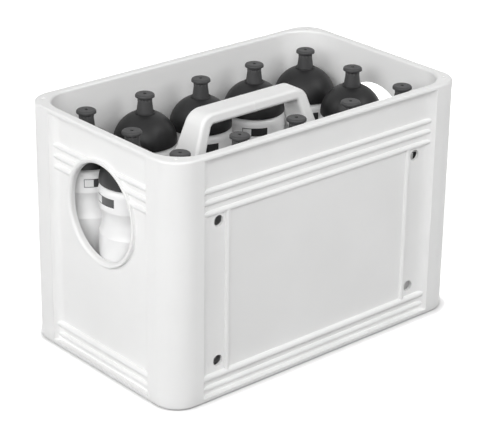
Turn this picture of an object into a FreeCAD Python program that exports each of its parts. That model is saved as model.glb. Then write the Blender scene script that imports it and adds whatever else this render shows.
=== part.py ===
import FreeCAD, Part
import math
import os
import re
import Sketcher

# Bottle caddy: a moulded crate for twelve sports bottles, with a carrying handle in its middle.
# Frame: millimetres, +X along the crate, +Y across it, +Z up, origin under the crate's middle.

SIZES = {
    # Bottle body, from its foot upwards
    "bottle_radius": 35.0,
    "bottle_wall": 1.5,
    "bottle_foot_round": 6.0,
    "bottle_foot_lift": 3.0,
    "bottle_foot_radius": 25.0,
    "bottle_lower_height": 143.0,
    "bottle_grip_height": 29.0,
    "bottle_grip_depth": 3.5,
    "waist_lead_share": 0.12,
    "waist_run_share": 0.25,
    "bottle_band_height": 17.0,
    "bottle_shoulder_height": 7.0,
    "bottle_neck_height": 9.0,
    "bottle_neck_radius": 31.2,
    "bottle_neck_wall": 2.6,
    # Cap, from its lower edge upwards
    "cap_radius": 34.5,
    "cap_edge_round": 1.2,
    "cap_shoulder_gap": 1.0,
    "cap_thread_gap": 0.6,
    "cap_skirt_height": 3.5,
    "cap_dome_rise": 29.9,
    "cap_seat_radius": 10.0,
    "cap_crown_thickness": 2.2,
    "cap_post_radius": 5.2,
    "cap_post_height": 11.6,
    "cap_post_end": 2.0,
    "cap_channel_radius": 3.4,
    "cap_plug_radius": 1.6,
    "cap_plug_height": 4.4,
    "cap_window_width": 3.0,
    "cap_window_height": 6.0,
    "cap_window_lift": 3.0,
    # Seal ring in the cap
    "seal_thickness": 1.5,
    "seal_edge_gap": 0.3,
    # Spout, from its seat on the cap upwards
    "spout_foot_radius": 9.3,
    "spout_neck_radius": 7.3,
    "spout_neck_height": 15.8,
    "spout_flare_height": 2.0,
    "spout_head_radius": 10.5,
    "spout_head_side": 1.2,
    "spout_head_round": 2.2,
    "spout_slide_gap": 0.3,
    "spout_bore_depth": 13.5,
    # Cells
    "cell_gap": 7.0,
    "wall_gap": 1.0,
    # Crate
    "crate_height": 270.0,
    "crate_corner_radius": 28.0,
    "rim_width": 10.0,
    "rim_lip": 4.0,
    "rim_round": 2.5,
    "base_round": 3.0,
    "base_flange": 5.5,
    "base_skirt": 7.0,
    "floor_lift": 4.0,
    "floor_thickness": 4.0,
    "drain_radius": 12.0,
    "panel_depth": 6.8,
    "panel_cove": 11.0,
    "side_post_width": 39.0,
    "end_post_width": 42.0,
    "bead_radius": 3.0,
    "bead_pitch": 12.0,
    "upper_bead_drop": 40.0,
    "base_bead_radius": 3.8,
    "base_bead_height": 24.5,
    "frame_bead_span": 252.0,
    "sign_hole_radius": 6.0,
    "sign_hole_span": 274.0,
    "sign_hole_drop": 75.0,
    "sign_hole_height": 40.0,
    "hand_hole_drop": 90.5,
    "hand_hole_radius": 50.5,
    "hand_hole_straight": 4.0,
    "hand_hole_round": 3.5,
    "collar_width": 5.0,
    "collar_rise": 4.2,
    "collar_round": 1.0,
    "dimple_inset": 14.5,
    "dimple_radius": 2.0,
    "dimple_depth": 2.0,
    # Cell divider
    "divider_thickness": 2.4,
    "divider_height": 85.0,
    "divider_end_gap": 0.4,
    "divider_tab_thickness": 3.0,
    "divider_tab_width": 28.0,
    # Carrying handle, from its foot upwards
    "handle_height": 248.0,
    "handle_top_length": 140.8,
    "handle_corner_radius": 18.0,
    "handle_bar_thickness": 13.0,
    "handle_bar_width": 26.0,
    "handle_leg_thickness": 15.0,
    "handle_leg_width": 52.0,
    "handle_foot_gap": 6.3,
    "handle_pillar_step": 1.0,
    "handle_lean_angle": 19.4,
    "handle_round": 4.0,
    "handle_inside_round": 5.0,
    # Screws under the floor
    "screw_radius": 2.0,
    "screw_head_radius": 4.0,
    "screw_head_height": 2.6,
    "screw_bite": 12.0,
    "screw_spacing": 28.0,
    "screw_floor_gap": 0.3,
    "screw_bite_gap": 0.1,
    # Help for cuts and for finding edges
    "cut_overrun": 5.0,
    "edge_match": 0.05,
}

# Sizes that follow from the ones above
PITCH = "(2 * bottle_radius + cell_gap)"
HALF_INNER_LENGTH = f"(2 * {PITCH} + bottle_radius + wall_gap)"
HALF_INNER_WIDTH = f"({PITCH} + bottle_radius + wall_gap)"
HALF_LENGTH = f"({HALF_INNER_LENGTH} + rim_width)"
HALF_WIDTH = f"({HALF_INNER_WIDTH} + rim_width)"
INNER_CORNER = "(bottle_radius + wall_gap)"
FLOOR_TOP = "(floor_lift + floor_thickness)"
SIDE_PANEL = f"({HALF_WIDTH} - panel_depth)"
END_PANEL = f"({HALF_LENGTH} - panel_depth)"
COLLAR_FACE = f"({END_PANEL} + collar_rise)"
COVE_RADIUS = "((panel_cove ^ 2 + panel_depth ^ 2) / (2 * panel_depth))"
UPPER_BEAD_HEIGHT = "(crate_height - upper_bead_drop)"
MID_BEAD_HEIGHT = f"({UPPER_BEAD_HEIGHT} - 2 * bead_pitch)"
UPPER_SIGN_HEIGHT = "(crate_height - sign_hole_drop)"
HAND_HOLE_HEIGHT = "(crate_height - hand_hole_drop)"

GRIP_BOTTOM = "bottle_lower_height"
GRIP_TOP = f"({GRIP_BOTTOM} + bottle_grip_height)"
SHOULDER_BOTTOM = f"({GRIP_TOP} + bottle_band_height)"
NECK_BOTTOM = f"({SHOULDER_BOTTOM} + bottle_shoulder_height)"
NECK_TOP = f"({NECK_BOTTOM} + bottle_neck_height)"
MOUTH_RADIUS = "(bottle_neck_radius - bottle_neck_wall)"

CAP_LEDGE = "(bottle_neck_height - cap_shoulder_gap + seal_thickness)"
CAP_SEAT = "(cap_skirt_height + cap_dome_rise)"
CAP_BASE = f"({NECK_BOTTOM} + cap_shoulder_gap)"
SPOUT_BASE = f"({CAP_BASE} + {CAP_SEAT})"

FOOT_HALF_LENGTH = f"(1.5 * {PITCH} - divider_thickness / 2 - handle_foot_gap)"
LEG_MIDDLE = f"({FOOT_HALF_LENGTH} - handle_leg_thickness / 2)"
HANDLE_FOOT = f"({FLOOR_TOP} + divider_tab_thickness)"
TOP_HALF = "(handle_top_length / 2)"
KNEE = f"(handle_height - ({FOOT_HALF_LENGTH} - {TOP_HALF}) / tan(handle_lean_angle))"
CORNER_RUN = "(handle_corner_radius * tan((90 - handle_lean_angle) / 2))"

# Cells that hold a bottle, as column and row steps from the middle cell, front row first
BOTTLE_CELLS = [(column, -1) for column in range(-2, 3)]
BOTTLE_CELLS += [(-2, 0), (2, 0)]
BOTTLE_CELLS += [(column, 1) for column in range(-2, 3)]

SIDES = (-1, 1)

doc = FreeCAD.newDocument("bottle_caddy")
sheet = doc.addObject("Spreadsheet::Sheet", "sizes")
for row, (alias, number) in enumerate(SIZES.items(), start=1):
    sheet.set(f"A{row}", alias)
    sheet.set(f"B{row}", str(number))
    sheet.setAlias(f"B{row}", alias)
doc.recompute()


def value(formula):
    """The number that a formula of size names gives."""
    return float(sheet.evalExpression(str(formula)))


def bound(formula):
    """The same formula as an expression that other objects can hold."""
    full_name = lambda word: f"sizes.{word[0]}" if word[0] in SIZES else word[0]
    return re.sub(r"[a-z_]{3,}", full_name, str(formula))


def mirrored(formula, side):
    """A formula, or its negative on the far side."""
    return formula if side > 0 else f"-({formula})"


def new_body(label, x=0, y=0, z=0):
    """An empty body, placed by three formulas."""
    body = doc.addObject("PartDesign::Body", label)
    body.Label = label
    for axis, formula in zip("xyz", (x, y, z)):
        if formula != 0:
            body.setExpression(f"Placement.Base.{axis}", bound(formula))
    return body


def new_sketch(body, name, plane, offset=0):
    """A sketch on one of the body's own planes, raised by a formula."""
    sketch = body.newObject("Sketcher::SketchObject", name)
    role = f"{plane}_Plane"
    support = next(item for item in body.Origin.OriginFeatures if item.Role == role)
    sketch.AttachmentSupport = (support, [""])
    sketch.MapMode = "FlatFace"
    if offset != 0:
        sketch.setExpression("AttachmentOffset.Base.z", bound(offset))
    return sketch


def bind(sketch, kind, *places_and_formula):
    """A sketch dimension whose value follows a formula."""
    *places, formula = places_and_formula
    index = sketch.addConstraint(Sketcher.Constraint(kind, *places, value(formula)))
    sketch.setExpression(f"Constraints[{index}]", bound(formula))


def pin(sketch, geometry, end, x, y):
    """Holds one point of the sketch at two formulas, measured from the origin."""
    for kind, axis, formula in (("DistanceX", -2, x), ("DistanceY", -1, y)):
        if formula == 0:
            sketch.addConstraint(Sketcher.Constraint("PointOnObject", geometry, end, axis))
        else:
            bind(sketch, kind, -1, 1, geometry, end, formula)


def arc_between(start, end, radius, turn):
    """The shorter arc from start to end; turn is 1 where it curves to the left and -1 to the right."""
    chord = end - start
    middle = (start + end) / 2
    rise = math.sqrt(max(radius ** 2 - (chord.Length / 2) ** 2, 0))
    across = FreeCAD.Vector(-chord.y, chord.x, 0).normalize()
    centre = middle + across * (rise * turn)
    first, last = (start, end) if turn > 0 else (end, start)
    angles = [math.atan2(point.y - centre.y, point.x - centre.x) for point in (first, last)]
    circle = Part.Circle(centre, FreeCAD.Vector(0, 0, 1), radius)
    return Part.ArcOfCircle(circle, *angles)


def draw_loop(sketch, steps):
    """A closed outline. A step is x and y, or x, y, radius and turn for an arc that ends there."""
    points = [FreeCAD.Vector(value(step[0]), value(step[1]), 0) for step in steps]
    ends = []
    for index, step in enumerate(steps):
        start, end = points[index - 1], points[index]
        if len(step) == 2:
            geometry = sketch.addGeometry(Part.LineSegment(start, end), False)
            ends.append((geometry, 1, 2))
        else:
            radius, turn = step[2:]
            geometry = sketch.addGeometry(arc_between(start, end, value(radius), turn), False)
            ends.append((geometry, 1, 2) if turn > 0 else (geometry, 2, 1))
    for index, step in enumerate(steps):
        geometry, _, end = ends[index]
        following, start, _ = ends[(index + 1) % len(steps)]
        sketch.addConstraint(Sketcher.Constraint("Coincident", geometry, end, following, start))
        pin(sketch, geometry, end, step[0], step[1])
        if len(step) > 2:
            bind(sketch, "Radius", geometry, step[2])


def draw_circle(sketch, x, y, radius):
    """A circle at two formulas."""
    centre = FreeCAD.Vector(value(x), value(y), 0)
    circle = Part.Circle(centre, FreeCAD.Vector(0, 0, 1), value(radius))
    geometry = sketch.addGeometry(circle, False)
    pin(sketch, geometry, 3, x, y)
    bind(sketch, "Radius", geometry, radius)


def rectangle(left, right, low, high):
    """The steps of a plain rectangle."""
    return [(left, low), (right, low), (right, high), (left, high)]


def rounded_rectangle(half_x, half_y, radius, middle_x="0"):
    """The steps of a rectangle with round corners, about a middle on the X axis."""
    left, right = f"({middle_x} - {half_x})", f"({middle_x} + {half_x})"
    flat_left, flat_right = f"({left} + {radius})", f"({right} - {radius})"
    flat_y = f"({half_y} - {radius})"
    return [
        (flat_right, f"-{half_y}"),
        (right, f"-{flat_y}", radius, 1),
        (right, flat_y),
        (flat_right, half_y, radius, 1),
        (flat_left, half_y),
        (left, flat_y, radius, 1),
        (left, f"-{flat_y}"),
        (flat_left, f"-{half_y}", radius, 1),
    ]


def tall_round(radius, middle, straight):
    """The steps of a circle stretched upwards by a short straight."""
    low = f"({middle} - {straight} / 2)"
    high = f"({middle} + {straight} / 2)"
    return [
        (radius, high),
        (0, f"({high} + {radius})", radius, 1),
        (f"-{radius}", high, radius, 1),
        (f"-{radius}", low),
        (0, f"({low} - {radius})", radius, 1),
        (radius, low, radius, 1),
    ]


def volume(body):
    """The body's volume after a rebuild."""
    doc.recompute()
    return body.Shape.Volume


def pad(body, name, sketch, length, midplane=False, reverse=False):
    """Material raised on a sketch."""
    feature = body.newObject("PartDesign::Pad", name)
    feature.Profile = sketch
    feature.setExpression("Length", bound(length))
    feature.Midplane = midplane
    feature.Reversed = reverse
    return feature


def pocket(body, name, sketch, length=None, midplane=False, reverse=False):
    """Material cut away by a sketch, right through where no length is given."""
    before = volume(body)
    feature = body.newObject("PartDesign::Pocket", name)
    feature.Profile = sketch
    feature.Midplane = midplane
    feature.Reversed = reverse
    if length is None:
        feature.Type = "ThroughAll"
    else:
        feature.setExpression("Length", bound(length))
    if not volume(body) < before:
        raise RuntimeError(f"{name} cuts nothing")
    return feature


def revolve(body, name, steps):
    """A full turn of an outline about the body's upright axis."""
    sketch = new_sketch(body, f"{name}_outline", "XZ")
    draw_loop(sketch, steps)
    feature = body.newObject("PartDesign::Revolution", name)
    feature.Profile = sketch
    feature.ReferenceAxis = (sketch, ["V_Axis"])
    feature.Angle = 360
    return feature


def round_edges(body, name, radius, wanted):
    """A fillet on the edges that the test picks."""
    doc.recompute()
    base = body.Tip
    edges = enumerate(base.Shape.Edges, start=1)
    names = [f"Edge{index}" for index, edge in edges if wanted(edge)]
    if not names:
        raise RuntimeError(f"{name} finds no edge")
    feature = body.newObject("PartDesign::Fillet", name)
    feature.Base = (base, names)
    feature.setExpression("Radius", bound(radius))
    body.Tip = feature
    doc.recompute()
    return feature


def near(first, second):
    """True where two lengths agree."""
    return abs(first - second) < value("edge_match")


def lies_at_height(edge, height):
    """True where an edge lies flat at a height."""
    box = edge.BoundBox
    return near(box.ZMin, height) and near(box.ZMax, height)


def make_crate():
    """The shell: one moulding with recessed walls, beads, hand holes and a raised floor."""
    body = new_body("crate_shell")

    block = new_sketch(body, "block_outline", "XY")
    draw_loop(block, rounded_rectangle(HALF_LENGTH, HALF_WIDTH, "crate_corner_radius"))
    pad(body, "block", block, "crate_height")

    # Each wall is set back between its corner posts, from the base flange to under the rim
    panels = new_sketch(body, "panel_outlines", "XY", "base_flange")
    for side in SIDES:
        side_edge = f"({HALF_LENGTH} - side_post_width)"
        draw_panel(panels, side, side_edge, HALF_WIDTH, along_x=True)
        end_edge = f"({HALF_WIDTH} - end_post_width)"
        draw_panel(panels, side, end_edge, HALF_LENGTH, along_x=False)
    pocket(body, "panels", panels, "crate_height - rim_lip - base_flange", reverse=True)

    # Round beads run along the walls, three above and two below
    side_beads = new_sketch(body, "side_bead_outlines", "YZ")
    draw_beads(side_beads, SIDE_PANEL)
    pad(body, "side_beads", side_beads, f"2 * ({HALF_LENGTH} - side_post_width)", midplane=True)
    end_beads = new_sketch(body, "end_bead_outlines", "XZ")
    draw_beads(end_beads, END_PANEL)
    pad(body, "end_beads", end_beads, f"2 * ({HALF_WIDTH} - end_post_width)", midplane=True)

    # Two upright beads close each long wall's field for a sign board
    frame_beads = new_sketch(body, "frame_bead_outlines", "XY", "base_bead_height")
    for side in SIDES:
        for hand in SIDES:
            x = mirrored("frame_bead_span / 2", hand)
            draw_circle(frame_beads, x, mirrored(SIDE_PANEL, side), "bead_radius")
    pad(body, "frame_beads", frame_beads, f"{MID_BEAD_HEIGHT} - base_bead_height")

    # A low collar runs round each hand hole
    collars = new_sketch(body, "collar_outline", "YZ")
    collar_radius = "(hand_hole_radius + collar_width)"
    draw_loop(collars, tall_round(collar_radius, HAND_HOLE_HEIGHT, "hand_hole_straight"))
    pad(body, "collars", collars, f"2 * {COLLAR_FACE}", midplane=True)

    inside = new_sketch(body, "inside_outline", "XY", FLOOR_TOP)
    draw_loop(inside, rounded_rectangle(HALF_INNER_LENGTH, HALF_INNER_WIDTH, INNER_CORNER))
    pocket(body, "inside", inside, reverse=True)

    under = new_sketch(body, "underside_outline", "XY")
    under_sizes = (f"({HALF_LENGTH} - base_skirt)", f"({HALF_WIDTH} - base_skirt)")
    draw_loop(under, rounded_rectangle(*under_sizes, "(crate_corner_radius - base_skirt)"))
    pocket(body, "underside", under, "floor_lift", reverse=True)

    hands = new_sketch(body, "hand_hole_outline", "YZ")
    draw_loop(hands, tall_round("hand_hole_radius", HAND_HOLE_HEIGHT, "hand_hole_straight"))
    pocket(body, "hand_holes", hands, midplane=True)

    signs = new_sketch(body, "sign_hole_outlines", "XZ")
    for hand in SIDES:
        for height in ("sign_hole_height", UPPER_SIGN_HEIGHT):
            draw_circle(signs, mirrored("sign_hole_span / 2", hand), height, "sign_hole_radius")
    pocket(body, "sign_holes", signs, midplane=True)

    # The floor has a drain under each bottle and four holes for the handle's screws
    floor_holes = new_sketch(body, "floor_hole_outlines", "XY")
    for column, line in BOTTLE_CELLS:
        x = cell_place(column)
        draw_circle(floor_holes, x, cell_place(line), "drain_radius")
    for x, y in screw_places():
        draw_circle(floor_holes, x, y, "(screw_radius + screw_floor_gap)")
    pocket(body, "floor_holes", floor_holes, reverse=True)

    # A small round dimple marks each corner of the rim
    dimples = new_sketch(body, "dimple_outlines", "XY", "crate_height")
    for side in SIDES:
        for hand in SIDES:
            x = mirrored(f"({HALF_LENGTH} - dimple_inset)", hand)
            draw_circle(dimples, x, mirrored(f"({HALF_WIDTH} - dimple_inset)", side), "dimple_radius")
    pocket(body, "dimples", dimples, "dimple_depth")

    top = value("crate_height")
    dimple_size = value("3 * dimple_radius")
    rim_edge = lambda edge: lies_at_height(edge, top) and edge.BoundBox.DiagonalLength > dimple_size
    round_edges(body, "rim_rounding", "rim_round", rim_edge)
    reach = (value(HALF_LENGTH), value(HALF_WIDTH))
    corner = value("crate_corner_radius")
    base_edge = lambda edge: lies_at_height(edge, 0) and on_outside(edge, reach, corner)
    round_edges(body, "base_rounding", "base_round", base_edge)
    hole_size = value("hand_hole_radius + edge_match")
    face = value(COLLAR_FACE)
    hole_edge = lambda edge: on_collar_face(edge, face) and round_radius(edge) < hole_size
    round_edges(body, "hand_hole_rounding", "hand_hole_round", hole_edge)
    ring_size = value(f"{collar_radius} - edge_match")
    ring_edge = lambda edge: on_collar_face(edge, face) and round_radius(edge) > ring_size
    round_edges(body, "collar_rounding", "collar_round", ring_edge)
    return body


def draw_panel(sketch, side, edge, face, along_x):
    """One wall's recess seen from above, with a cove at each post."""
    foot = f"({edge} - panel_cove)"
    deep = f"({face} - panel_depth)"
    outside = f"({face} + cut_overrun)"
    turn = 1 if along_x == (side > 0) else -1
    run = [
        (edge, outside),
        (f"-{edge}", outside),
        (f"-{edge}", face),
        (f"-{foot}", deep, COVE_RADIUS, turn),
        (foot, deep),
        (edge, face, COVE_RADIUS, turn),
    ]
    steps = []
    for along, across, *arc in run:
        across = mirrored(across, side)
        steps.append((along, across, *arc) if along_x else (across, along, *arc))
    draw_loop(sketch, steps)


def draw_beads(sketch, plane):
    """The bead sections of two facing walls."""
    for side in SIDES:
        across = mirrored(plane, side)
        for step in range(3):
            draw_circle(sketch, across, f"({UPPER_BEAD_HEIGHT} - {step} * bead_pitch)", "bead_radius")
        draw_circle(sketch, across, "base_bead_height", "base_bead_radius")
        draw_circle(sketch, across, "(base_bead_height - bead_pitch)", "bead_radius")


def on_outside(edge, reach, corner):
    """True where an edge lies on the crate's outer outline."""
    middle = edge.BoundBox.Center
    inset_x = reach[0] - abs(middle.x)
    inset_y = reach[1] - abs(middle.y)
    on_side = near(inset_x, 0) or near(inset_y, 0)
    on_corner = inset_x < corner and inset_y < corner and near(round_radius(edge), corner)
    return on_side or on_corner


def on_collar_face(edge, face):
    """True where an edge lies flat on the face of a hand hole's collar."""
    box = edge.BoundBox
    return near(box.XMin, box.XMax) and near(abs(box.XMin), face)


def edge_width(edge):
    """How far an edge reaches from the crate's middle plane."""
    return max(abs(edge.BoundBox.YMin), abs(edge.BoundBox.YMax))


def round_radius(edge):
    """The radius of a round edge, or how far a straight one lies from the middle plane."""
    return edge.Curve.Radius if hasattr(edge.Curve, "Radius") else edge_width(edge)


def cell_place(steps):
    """The place of a cell's middle, in whole steps from the crate's middle."""
    return f"({steps} * {PITCH})" if steps else 0


def screw_places():
    """The four places of the handle's screws."""
    return [
        (mirrored(LEG_MIDDLE, hand), mirrored("(screw_spacing / 2)", side))
        for hand in SIDES
        for side in SIDES
    ]


def make_divider():
    """The lattice that keeps the bottles apart, open round the handle, with tabs under its feet."""
    body = new_body("cell_divider", z=FLOOR_TOP)
    half_x = f"({HALF_INNER_LENGTH} - divider_end_gap)"
    half_y = f"({HALF_INNER_WIDTH} - divider_end_gap)"
    block = new_sketch(body, "lattice_outline", "XY")
    corner = f"({INNER_CORNER} - divider_end_gap)"
    draw_loop(block, rounded_rectangle(half_x, half_y, corner))
    pad(body, "lattice_block", block, "divider_height")

    cells = new_sketch(body, "cell_outlines", "XY")
    for column, line in BOTTLE_CELLS:
        draw_loop(cells, rectangle(*cell_span(column, 2), *cell_span(line, 1)))
    bay = f"(1.5 * {PITCH} - divider_thickness / 2)"
    draw_loop(cells, rectangle(f"-{bay}", bay, *cell_span(0, 1)))
    pocket(body, "cells", cells, reverse=True)

    tabs = new_sketch(body, "tab_outlines", "XY")
    tab_side = f"({PITCH} / 2)"
    inner_end, outer_end = f"({bay} - divider_tab_width)", f"({bay} + divider_thickness / 2)"
    draw_loop(tabs, rectangle(inner_end, outer_end, f"-{tab_side}", tab_side))
    draw_loop(tabs, rectangle(f"-{outer_end}", f"-{inner_end}", f"-{tab_side}", tab_side))
    pad(body, "tabs", tabs, "divider_tab_thickness")

    holes = new_sketch(body, "tab_hole_outlines", "XY")
    for x, y in screw_places():
        draw_circle(holes, x, y, "(screw_radius + screw_floor_gap)")
    pocket(body, "tab_holes", holes, reverse=True)
    return body


def cell_span(steps, last):
    """Where a cell begins and ends between its dividers; an outermost cell is open to the wall."""
    half = f"({PITCH} - divider_thickness) / 2"
    low = f"({steps} * {PITCH} - {half})"
    high = f"({steps} * {PITCH} + {half})"
    if steps == -last:
        low = f"({steps} * {PITCH} - {PITCH} / 2 - cut_overrun)"
    if steps == last:
        high = f"({steps} * {PITCH} + {PITCH} / 2 + cut_overrun)"
    return low, high


def make_handle():
    """The carrying handle: an arch on two leaning legs, each on a pillar that stands on its tab."""
    body = new_body("carry_handle", z=HANDLE_FOOT)
    arch = new_sketch(body, "arch_outline", "XZ")
    inner_foot = f"({FOOT_HALF_LENGTH} - handle_leg_thickness)"
    underside = "(handle_height - handle_bar_thickness)"
    inner_top = f"({TOP_HALF} + handle_bar_thickness * tan(handle_lean_angle) - handle_leg_thickness)"
    corner_x = f"({TOP_HALF} + {CORNER_RUN} * sin(handle_lean_angle))"
    corner_z = f"(handle_height - {CORNER_RUN} * cos(handle_lean_angle))"
    flat_x = f"({TOP_HALF} - {CORNER_RUN})"
    draw_loop(arch, [
        (FOOT_HALF_LENGTH, KNEE),
        (corner_x, corner_z),
        (flat_x, "handle_height", "handle_corner_radius", 1),
        (f"-{flat_x}", "handle_height"),
        (f"-{corner_x}", corner_z, "handle_corner_radius", 1),
        (f"-{FOOT_HALF_LENGTH}", KNEE),
        (f"-{inner_foot}", KNEE),
        (f"-{inner_top}", underside),
        (inner_top, underside),
        (inner_foot, KNEE),
    ])
    pad(body, "arch", arch, "handle_leg_width", midplane=True)

    # The sides lean in from the knees to the bar
    flare = new_sketch(body, "flare_outlines", "YZ")
    for side in SIDES:
        bar_edge = mirrored("(handle_bar_width / 2)", side)
        leg_edge = mirrored("(handle_leg_width / 2)", side)
        outside = mirrored("(handle_leg_width / 2 + cut_overrun)", side)
        above = "(handle_height + cut_overrun)"
        draw_loop(flare, [
            (bar_edge, "handle_height"),
            (leg_edge, KNEE),
            (outside, KNEE),
            (outside, above),
            (bar_edge, above),
        ])
    pocket(body, "flare", flare, midplane=True)

    ceiling = value(underside)
    inside_corner = lambda edge: crosses(edge) and lies_at_height(edge, ceiling)
    round_edges(body, "inside_rounding", "handle_inside_round", inside_corner)
    knee = value(f"{KNEE} + edge_match")
    long_edge = lambda edge: edge.BoundBox.ZMax > knee and not crosses(edge)
    round_edges(body, "handle_rounding", "handle_round", long_edge)

    pillars = new_sketch(body, "pillar_outlines", "XY")
    half_x = "(handle_leg_thickness / 2 + handle_pillar_step)"
    half_y = "(handle_leg_width / 2 + handle_pillar_step)"
    for hand in SIDES:
        middle = mirrored(LEG_MIDDLE, hand)
        draw_loop(pillars, rounded_rectangle(half_x, half_y, "handle_round", middle))
    pad(body, "pillars", pillars, KNEE)

    pilots = new_sketch(body, "pilot_outlines", "XY")
    for x, y in screw_places():
        draw_circle(pilots, x, y, "(screw_radius + screw_bite_gap)")
    pocket(body, "pilot_holes", pilots, "screw_bite + screw_radius", reverse=True)
    return body


def crosses(edge):
    """True where an edge runs from one side of the middle plane to the other."""
    return edge.BoundBox.YMin < 0 < edge.BoundBox.YMax


def make_screws():
    """Four screws that come up through the floor and the tabs into the handle's feet."""
    screws = []
    for index, (x, y) in enumerate(screw_places(), start=1):
        head = doc.addObject("Part::Cylinder", f"screw_head_{index}")
        head.setExpression("Radius", bound("screw_head_radius"))
        head.setExpression("Height", bound("screw_head_height"))
        shank = doc.addObject("Part::Cylinder", f"screw_shank_{index}")
        shank.setExpression("Radius", bound("screw_radius"))
        grip = "floor_thickness + divider_tab_thickness + screw_bite"
        shank.setExpression("Height", bound(f"screw_head_height + {grip}"))
        for piece in (head, shank):
            piece.setExpression("Placement.Base.x", bound(x))
            piece.setExpression("Placement.Base.y", bound(y))
            piece.setExpression("Placement.Base.z", bound("floor_lift - screw_head_height"))
        screw = doc.addObject("Part::Fuse", f"screw_{index}")
        screw.Base = head
        screw.Tool = shank
        screws.append(screw)
    group = doc.addObject("Part::Compound", "handle_screws")
    group.Label = "handle_screws"
    group.Links = screws
    return group


def make_bottle_body(label, x, y):
    """A blown bottle: round foot, straight side, grip waist, band, shoulder and wide neck."""
    body = new_body(label, x, y, FLOOR_TOP)
    inner = "(bottle_radius - bottle_wall)"
    waist = f"({inner} - bottle_grip_depth)"
    waist_lead = "(waist_lead_share * bottle_grip_height)"
    waist_run = "(waist_run_share * bottle_grip_height)"
    grip_arc = "((bottle_grip_height / 2) ^ 2 + bottle_grip_depth ^ 2) / (2 * bottle_grip_depth)"
    inner_foot = "(bottle_foot_round - bottle_wall)"
    shoulder_in = "(bottle_radius - bottle_neck_radius)"
    shoulder_arc = f"({shoulder_in} ^ 2 + bottle_shoulder_height ^ 2) / (2 * {shoulder_in})"
    revolve(body, "shape", [
        (0, "bottle_foot_lift"),
        ("bottle_foot_radius", 0),
        ("(bottle_radius - bottle_foot_round)", 0),
        ("bottle_radius", "bottle_foot_round", "bottle_foot_round", 1),
        ("bottle_radius", GRIP_BOTTOM),
        ("bottle_radius", GRIP_TOP, grip_arc, -1),
        ("bottle_radius", SHOULDER_BOTTOM),
        ("bottle_neck_radius", NECK_BOTTOM, shoulder_arc, 1),
        ("bottle_neck_radius", NECK_TOP),
        (MOUTH_RADIUS, NECK_TOP),
        (MOUTH_RADIUS, NECK_BOTTOM),
        (inner, SHOULDER_BOTTOM),
        (inner, f"({GRIP_TOP} + {waist_lead})"),
        (waist, f"({GRIP_TOP} - {waist_run})"),
        (waist, f"({GRIP_BOTTOM} + {waist_run})"),
        (inner, f"({GRIP_BOTTOM} - {waist_lead})"),
        (inner, "bottle_foot_round"),
        (f"({inner} - {inner_foot})", "bottle_wall"),
        ("bottle_foot_radius", "bottle_wall"),
        (0, "(bottle_foot_lift + bottle_wall)"),
    ])
    return body


def make_cap(label, x, y):
    """A dome that screws over the neck, with a post and plug that the spout slides on."""
    body = new_body(label, x, y, f"{FLOOR_TOP} + {CAP_BASE}")
    skirt_inside = "(bottle_neck_radius + cap_thread_gap)"
    dome_drop = "((cap_radius ^ 2 - cap_seat_radius ^ 2 - cap_dome_rise ^ 2) / (2 * cap_dome_rise))"
    dome_arc = f"sqrt(cap_radius ^ 2 + {dome_drop} ^ 2)"
    crown = f"({CAP_SEAT} - cap_crown_thickness)"
    vault_rise = f"({crown} - {CAP_LEDGE})"
    vault_drop = f"(({MOUTH_RADIUS} ^ 2 - cap_channel_radius ^ 2 - {vault_rise} ^ 2) / (2 * {vault_rise}))"
    vault_arc = f"sqrt({MOUTH_RADIUS} ^ 2 + {vault_drop} ^ 2)"
    post_top = f"({CAP_SEAT} + cap_post_height)"
    channel_top = f"({post_top} - cap_post_end)"
    revolve(body, "shape", [
        (skirt_inside, 0),
        ("(cap_radius - cap_edge_round)", 0),
        ("cap_radius", "cap_edge_round", "cap_edge_round", 1),
        ("cap_radius", "cap_skirt_height"),
        ("cap_seat_radius", CAP_SEAT, dome_arc, 1),
        ("cap_post_radius", CAP_SEAT),
        ("cap_post_radius", post_top),
        ("cap_plug_radius", post_top),
        ("cap_plug_radius", f"({post_top} + cap_plug_height)"),
        (0, f"({post_top} + cap_plug_height)"),
        (0, channel_top),
        ("cap_channel_radius", channel_top),
        ("cap_channel_radius", crown),
        (MOUTH_RADIUS, CAP_LEDGE, vault_arc, -1),
        (skirt_inside, CAP_LEDGE),
    ])

    # Two windows let the drink out of the post
    window = new_sketch(body, "window_outline", "XZ")
    low = f"({CAP_SEAT} + cap_window_lift)"
    half = "(cap_window_width / 2)"
    draw_loop(window, rectangle(f"-{half}", half, low, f"({low} + cap_window_height)"))
    pocket(body, "windows", window, midplane=True)
    return body


def make_seal(label, x, y):
    """The ring between the cap's ledge and the bottle's mouth."""
    body = new_body(label, x, y, f"{FLOOR_TOP} + {NECK_TOP}")
    inner = f"({MOUTH_RADIUS} + seal_edge_gap)"
    outer = "(bottle_neck_radius - seal_edge_gap)"
    revolve(body, "shape", rectangle(inner, outer, 0, "seal_thickness"))
    return body


def make_spout(label, x, y):
    """The push-pull mouthpiece: a tapered sleeve with a wide head and a hole that the plug shuts."""
    body = new_body(label, x, y, f"{FLOOR_TOP} + {SPOUT_BASE}")
    bore = "(cap_post_radius + spout_slide_gap)"
    hole = "(cap_plug_radius + spout_slide_gap)"
    flare_top = "(spout_neck_height + spout_flare_height)"
    side_top = f"({flare_top} + spout_head_side)"
    top = f"({side_top} + spout_head_round)"
    revolve(body, "shape", [
        (bore, 0),
        ("spout_foot_radius", 0),
        ("spout_neck_radius", "spout_neck_height"),
        ("spout_head_radius", flare_top),
        ("spout_head_radius", side_top),
        ("(spout_head_radius - spout_head_round)", top, "spout_head_round", 1),
        (hole, top),
        (hole, "spout_bore_depth"),
        (bore, "spout_bore_depth"),
    ])
    return body


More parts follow.
